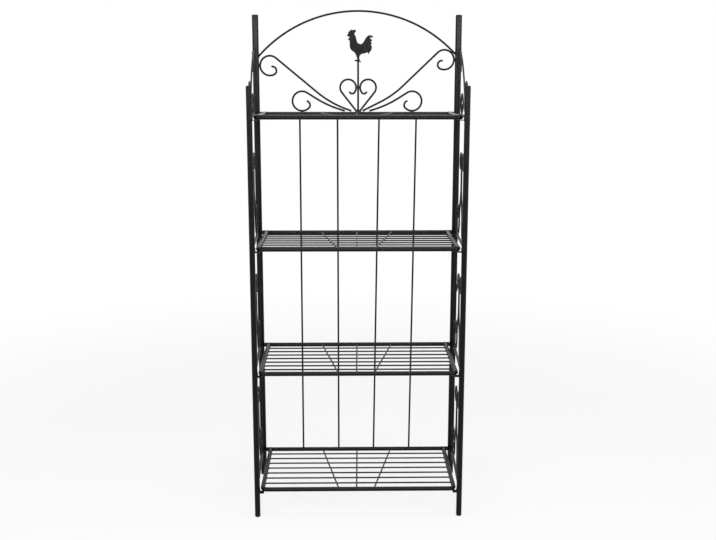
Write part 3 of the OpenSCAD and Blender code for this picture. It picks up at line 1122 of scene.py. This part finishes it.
@dataclass
class BackPanel:
    """The back panel: uprights, rails, back rods, crown and hinge barrels."""

    body: str = "back_panel"
    upright_r: float = 9.5 * MM
    crown_r: float = 3.0 * MM
    rod_r: float = 2.75 * MM
    barrel_r: float = 6.5 * MM
    barrel_rim: float = 0.3 * MM
    rod_apart: float = 3.0 * MM
    rod_tack: tuple[float, float] = (5.5 * MM, 1.8 * MM)
    rod_seat: float = 0.7 * MM
    rod_valley: float = 0.8
    barrel_apart: float = 2.0 * MM
    seam_pitch: float = 9.0 * MM
    seam_width: float = 2.2 * MM
    seam_apart: float = 3.1 * MM
    seam_seat: float = 0.93
    seam_share: float = 0.85
    top_cap: float = 5.0 * MM
    foot_cap: float = 9.0 * MM
    plate: float = 2.5 * MM
    plate_rim: float = 0.5 * MM
    relief: float = 1.7 * MM
    perch_left: float = 5.9 * MM
    perch_up: float = 5.0 * MM

    def build(self, wardrobe: Wardrobe, welder: Welder) -> None:
        """Dresses the panel, and makes its welds, caps, barrels and bird.

        Args:
            wardrobe: the finishes.
            welder: the welder.
        """
        for side in Side:
            wardrobe.dress_node(f"{side.word}_upright", TUBE_COAT)
        for level in Level:
            wardrobe.dress_node(f"{level.value}_rail", TUBE_COAT)
        for rod in ("back_rods", *self.crown_rods):
            wardrobe.dress_node(rod, ROD_COAT)
        self.build_caps(wardrobe)
        self.build_barrels(wardrobe)
        self.build_bird(wardrobe)
        self.weld(welder)
        wardrobe.dress_piece(welder.finish("back_panel_welds"), WELD_COAT, self.body)

    @property
    def crown_rods(self) -> list[str]:
        """The nodes of the crown that are bent from rod."""
        pairs = ("large_scroll", "small_scroll", "heart_half")
        bent = [f"{side.word}_{part}" for part in pairs for side in Side]
        return ["crown_arch", "spear_rod", *bent]

    def build_caps(self, wardrobe: Wardrobe) -> None:
        """Replaces the uprights' top and foot caps.

        Args:
            wardrobe: the finishes.
        """
        for node, name, height, looks_up in (
                ("upright_caps", "upright_top_caps", self.top_cap, True),
                ("rear_foot_caps", "upright_foot_caps", self.foot_cap, False)):
            low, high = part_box(node)
            y = (low.y + high.y) / 2
            z = high.z if looks_up else low.z
            spots = [(Vector((x, y, z)), height, looks_up)
                     for x in (low.x + self.upright_r, high.x - self.upright_r)]
            wardrobe.dress_piece(CapMaker(self.upright_r).set(name, spots), CAP_PLASTIC,
                                 self.body, [node])

    def build_barrels(self, wardrobe: Wardrobe) -> None:
        """Softens the rims of the hinge barrels.

        Args:
            wardrobe: the finishes.
        """
        for side in Side:
            node = f"{side.word}_hinge_barrels"
            piece = softened_node(node, f"{side.word}_barrels", self.barrel_rim)
            wardrobe.dress_piece(piece, WORN_COAT, self.body, [node])

    def build_bird(self, wardrobe: Wardrobe) -> None:
        """Rounds the weathercock's outline and raises its feathers and eyes.

        Args:
            wardrobe: the finishes.
        """
        low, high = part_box("bird_plate")
        body = merged_node("bird_plate", "bird_body")
        add_bevel(body, self.plate_rim, 3, 45)
        foot = Vector(((low.x + high.x) / 2 - self.perch_left, (low.y + high.y) / 2,
                       low.z + self.perch_up))
        reliefs = self.bird_reliefs(foot)
        piece = joined([body, *reliefs], "weathercock")
        smooth(piece, 40)
        keep_flats(piece)
        wardrobe.dress_piece(piece, CAST_COAT, self.body, ["bird_plate"])

    def bird_reliefs(self, foot: Vector) -> list[bpy.types.Object]:
        """Models the low ridges on both faces of the bird.

        Args:
            foot: the point of the plate over its perch.

        Returns:
            One object for each ridge.
        """
        feather = self.feather_model()
        # Middle, length, width and turn of each ridge, in millimetres and degrees
        ridges = ((2, 37, 20, 8, 62), (7, 35, 18, 6, 54), (11, 39, 17, 5, 44),
                  (28, 52, 30, 5, 22), (33, 44, 24, 5, 30), (31, 62, 22, 4, 2),
                  (-17, 62, 22, 5, 12), (-15, 46, 18, 7, 20), (-10, 54, 16, 5, 16),
                  (34, 34, 14, 4, 34), (-23, 80, 3.4, 3.4, 0))
        made = []
        for side in (-1, 1):
            face = foot + Vector((0, side * self.plate / 2, 0))
            for x, z, length, width, turn in ridges:
                size = Matrix.Diagonal((width * MM, self.relief, length * MM, 1))
                lean = Matrix.Rotation(math.radians(turn), 4, "Y")
                spot = Matrix.Translation(face + Vector((x * MM, 0, z * MM)))
                made.append(placed_copy(feather, spot @ lean @ size))
        discard(feather)
        return made

    @staticmethod
    def feather_model() -> bpy.types.Object:
        """Models a feather-shaped swelling one long along Z, one wide and one thick.

        Returns:
            The feather's model.
        """
        clear_selection()
        bpy.ops.mesh.primitive_uv_sphere_add(segments=16, ring_count=10, radius=0.5)
        feather = bpy.context.object
        for height, slim in ((0.2, 0.86), (0.32, 0.8), (0.42, 0.75)):
            pick_faces(feather, lambda at, _: at.z > height)
            with editing(feather):
                bpy.ops.transform.resize(value=(slim, 1.0, 1.0))
        return settle(feather, "feather_model")

    def weld(self, welder: Welder) -> None:
        """Tacks the crown, the back rods and the hinge barrels.

        Args:
            welder: the welder.
        """
        for rod in self.crown_rods:
            others = ["top_rail", "left_upright", "right_upright"]
            others += [name for name in self.crown_rods if name > rod]
            found = sum(welder.tack_contacts(rod, other, self.crown_r) for other in others)
            LOG.info("%s touches its panel at %d places", rod, found)
        self.weld_back_rods(welder)
        for side in Side:
            self.weld_barrels(welder, side)

    def weld_back_rods(self, welder: Welder) -> None:
        """Lays a tack on either side of each back rod where it crosses a rail.

        Args:
            welder: the welder.
        """
        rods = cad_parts["back_rods"].data
        ends = sorted((v.co.x, v.co.z) for v in rods.vertices)
        low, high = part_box("back_rods")
        feet = self.middles([x for x, z in ends if z < low.z + self.rod_apart])
        tops = self.middles([x for x, z in ends if z > high.z - self.rod_apart])
        y = low.y + self.rod_seat
        for level in Level:
            rail_low, rail_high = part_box(f"{level.value}_rail")
            z = (rail_low.z + rail_high.z) / 2
            share = (z - low.z) / (high.z - low.z)
            for foot, top in zip(feet, tops):
                x = foot + (top - foot) * share
                for side in Side:
                    beside = x + side.value * self.rod_valley * self.rod_r
                    welder.tack(Vector((beside, y, z)), Vector((0, 0, 1)), *self.rod_tack)

    def middles(self, values: Sequence[float]) -> list[float]:
        """Finds the middle of each rod.

        Args:
            values: the places of the rods' vertices, sorted.

        Returns:
            Each rod's middle.
        """
        groups: list[list[float]] = []
        for value in values:
            if groups and value - groups[-1][-1] < self.rod_apart:
                groups[-1].append(value)
            else:
                groups.append([value])
        return [(group[0] + group[-1]) / 2 for group in groups]

    def weld_barrels(self, welder: Welder, side: Side) -> None:
        """Lays the seams in front of and behind each hinge barrel.

        Args:
            welder: the welder.
            side: the side whose barrels are welded.
        """
        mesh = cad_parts[f"{side.word}_hinge_barrels"].data
        barrels = self.spans(sorted(v.co.z for v in mesh.vertices))
        low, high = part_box(f"{side.word}_hinge_barrels")
        tube_low, tube_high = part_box(f"{side.word}_upright")
        tube = Vector(((tube_low.x + tube_high.x) / 2, (tube_low.y + tube_high.y) / 2, 0))
        out = high.x - self.barrel_r if side is Side.RIGHT else low.x + self.barrel_r
        pin = Vector((out, low.y + self.barrel_r, 0))
        towards = (pin - tube).normalized()
        across = Vector((-towards.y, towards.x, 0))
        for start, end in barrels:
            length = end - start
            count = max(1, round(length / self.seam_pitch))
            for index in range(count):
                z = start + length * (index + 0.5) / count
                for hand in (-1, 1):
                    spot = (tube + towards * self.upright_r * self.seam_seat
                            + across * hand * self.seam_apart)
                    welder.tack(spot + Vector((0, 0, z)), Vector((0, 0, 1)),
                                self.seam_share * length / count, self.seam_width)

    def spans(self, heights: Sequence[float]) -> list[tuple[float, float]]:
        """Finds the ends of each barrel.

        Args:
            heights: the heights of the barrels' vertices, sorted.

        Returns:
            The lower and upper end of each barrel.
        """
        levels: list[float] = []
        for height in heights:
            if not levels or height - levels[-1] > self.barrel_apart:
                levels.append(height)
        return list(zip(levels[0::2], levels[1::2]))


# Studio


@dataclass
class Studio:
    """The plain pale studio: floor, soft lamps and the camera.

    The camera stands at the photograph's own viewpoint. It is tilted down
    instead of shifted far, so that other views keep the whole stand too.
    Places are in metres and angles in degrees.
    """

    eye: tuple[float, float, float] = (-0.0330, -2.6527, 1.2430)
    tilt: float = 10.55
    turn: float = 0.73
    lens: float = 45.99
    shift: float = -0.02
    floor_size: float = 60.0
    floor_glow: float = 0.84
    floor_white: float = 0.90
    fade_from: float = 0.9
    fade_to: float = 3.0
    ambient: float = 0.12

    def build(self) -> None:
        """Builds the world, the floor, the lamps and the camera."""
        self.build_world()
        self.build_floor()
        self.build_lamps()
        self.build_camera()

    @staticmethod
    def seen_rays(net: Shader) -> bpy.types.NodeSocket:
        """Makes a value that is one for rays from the camera, mirrors and glass.

        Args:
            net: the nodes of the floor or the world.

        Returns:
            The value.
        """
        path = net.node("LightPath")
        mirrored = net.math("MAXIMUM", path.outputs["Is Glossy Ray"],
                            path.outputs["Is Transmission Ray"])
        return net.math("MAXIMUM", path.outputs["Is Camera Ray"], mirrored)

    def build_world(self) -> None:
        """Makes a world that looks white and lights the stand softly."""
        world = bpy.data.worlds.new("pale_studio")
        bpy.context.scene.world = world
        world.use_nodes = True
        world.node_tree.nodes.clear()
        net = Shader(world.node_tree)
        strength = net.spread(self.seen_rays(net), 0.0, 1.0, self.ambient, 1.0)
        background = net.node("Background")
        background.inputs["Color"].default_value = (1, 1, 1, 1)
        net.link(strength, background.inputs["Strength"])
        net.link(background.outputs[0], net.node("OutputWorld").inputs["Surface"])

    def build_floor(self) -> None:
        """Lays a pale floor that keeps a soft shadow and fades to white far out."""
        clear_selection()
        bpy.ops.mesh.primitive_plane_add(size=self.floor_size)
        floor = settle(bpy.context.object, "floor")
        floor.data.materials.append(self.floor_material())

    def floor_material(self) -> bpy.types.Material:
        """Mixes a matte white with a glow that only seen rays meet.

        Returns:
            The material.
        """
        made = bpy.data.materials.new("pale_floor")
        made.use_nodes = True
        made.node_tree.nodes.clear()
        net = Shader(made.node_tree)
        place = net.node("TexCoord").outputs["Object"]
        distance = net.node("VectorMath", operation="LENGTH")
        net.link(place, distance.inputs[0])
        far = net.spread(distance.outputs["Value"], self.fade_from, self.fade_to,
                         self.floor_glow, 1.0)
        glow = net.node("Emission")
        glow.inputs["Color"].default_value = (1, 1, 1, 1)
        matte = net.node("BsdfDiffuse")
        matte.inputs["Color"].default_value = (*[self.floor_white] * 3, 1)
        mix = net.node("MixShader")
        net.link(net.math("MULTIPLY", far, self.seen_rays(net)), mix.inputs[0])
        net.link(matte.outputs[0], mix.inputs[1])
        net.link(glow.outputs[0], mix.inputs[2])
        net.link(mix.outputs[0], net.node("OutputMaterial").inputs["Surface"])
        return made

    @staticmethod
    def lamp(name: str, place: tuple[float, float, float], target: tuple[float, float, float],
             size: tuple[float, float], power: float) -> None:
        """Hangs a soft area lamp.

        Args:
            name: the lamp's name.
            place: where it hangs.
            target: the point that it faces.
            size: its width and height.
            power: its power in watts.
        """
        light = bpy.data.lights.new(name, "AREA")
        light.shape = "RECTANGLE"
        light.size, light.size_y = size
        light.energy = power
        obj = bpy.data.objects.new(name, light)
        obj.location = place
        look = Vector(target) - Vector(place)
        obj.rotation_euler = look.to_track_quat("-Z", "Y").to_euler()
        bpy.context.scene.collection.objects.link(obj)

    def build_lamps(self) -> None:
        """Hangs a band of soft lamps round the front, and weak ones behind and above."""
        self.lamp("front_lamp", (0.0, -2.75, 1.62), (0, 0, 1.3), (1.6, 0.45), 30)
        self.lamp("left_lamp", (-1.95, -1.75, 1.60), (0, 0, 1.3), (1.4, 0.45), 26)
        self.lamp("right_lamp", (1.95, -1.75, 1.58), (0, 0, 1.3), (1.4, 0.50), 30)
        self.lamp("rear_lamp", (0.2, 2.4, 3.0), (0, 0, 0.8), (1.6, 1.0), 5)
        self.lamp("top_lamp", (0.1, -0.3, 3.2), (0, 0, 0), (1.3, 1.0), 36)

    def build_camera(self) -> None:
        """Sets the camera where the photograph was taken from."""
        data = bpy.data.cameras.new("photo_camera")
        data.lens = self.lens
        data.shift_y = self.shift
        camera = bpy.data.objects.new("photo_camera", data)
        camera.location = self.eye
        camera.rotation_euler = (math.radians(90 - self.tilt), 0, math.radians(-self.turn))
        bpy.context.scene.collection.objects.link(camera)
        bpy.context.scene.camera = camera


def main() -> None:
    """Builds the studio and the stand, sub-assembly by sub-assembly."""
    logging.basicConfig(level=logging.INFO, format="%(message)s")
    bpy.context.scene.view_settings.view_transform = "Standard"
    Studio().build()
    wardrobe = Wardrobe()
    welder = Welder()
    BackPanel().build(wardrobe, welder)
    for side in Side:
        SideFrame(side).build(wardrobe, welder)
    for level in Level:
        Shelf(level).build(wardrobe, welder)
    welder.clear_models()


if __name__ == "__main__":
    main()
